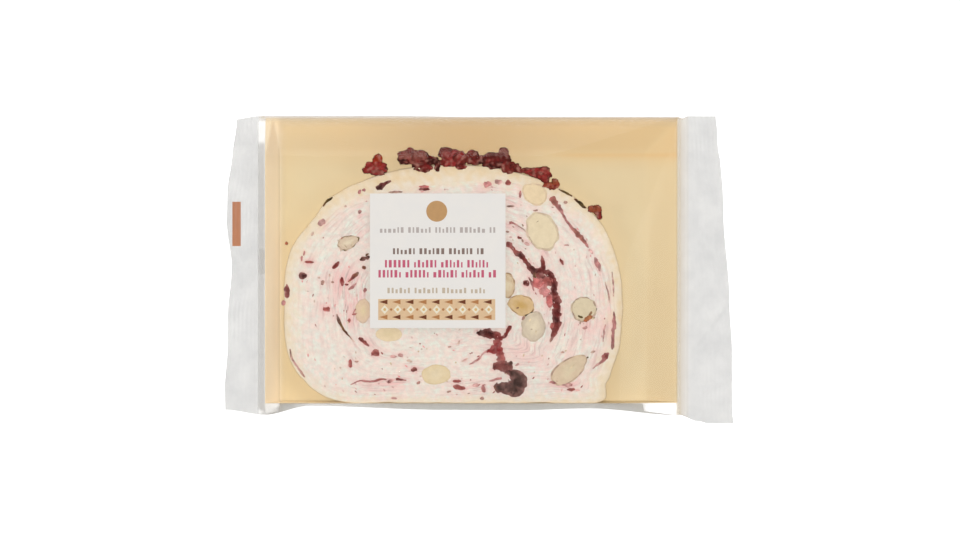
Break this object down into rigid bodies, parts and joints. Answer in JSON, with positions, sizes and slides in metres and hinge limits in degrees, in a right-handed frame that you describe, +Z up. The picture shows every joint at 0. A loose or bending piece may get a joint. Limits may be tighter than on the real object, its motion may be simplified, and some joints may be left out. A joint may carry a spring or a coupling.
{
  "type": "packed nougat roll slice",
  "caption": "Slice of soft rolled nougat on a shallow gold card tray, sealed in a clear film flow pack with flat end fins and a square paper label.",
  "frame": {"origin": "on the flat underside of the pack, below the middle of the tray's rim", "axes": "+X along the film tube, towards the wider end fin; +Y towards the slice's rounded crust; +Z up, out of the shown side"},
  "size_m": [0.2042, 0.1234, 0.0146],
  "materials": {
    "film": "clear glossy film, milky where it is pinched flat at the ends",
    "label_paper": "smooth white paper with plain printed fields",
    "tray_card": "satin pale gold laminate",
    "nougat": "matte, soft and slightly porous",
    "white_chocolate": "satin, cream",
    "nut": "matte cut nut with a thin brown skin",
    "fruit": "dried red fruit, dark and slightly glossy"
  },
  "bodies": {
    "root": {"wrapper": "film", "label": "label_paper"}
  },
  "joints": []
}
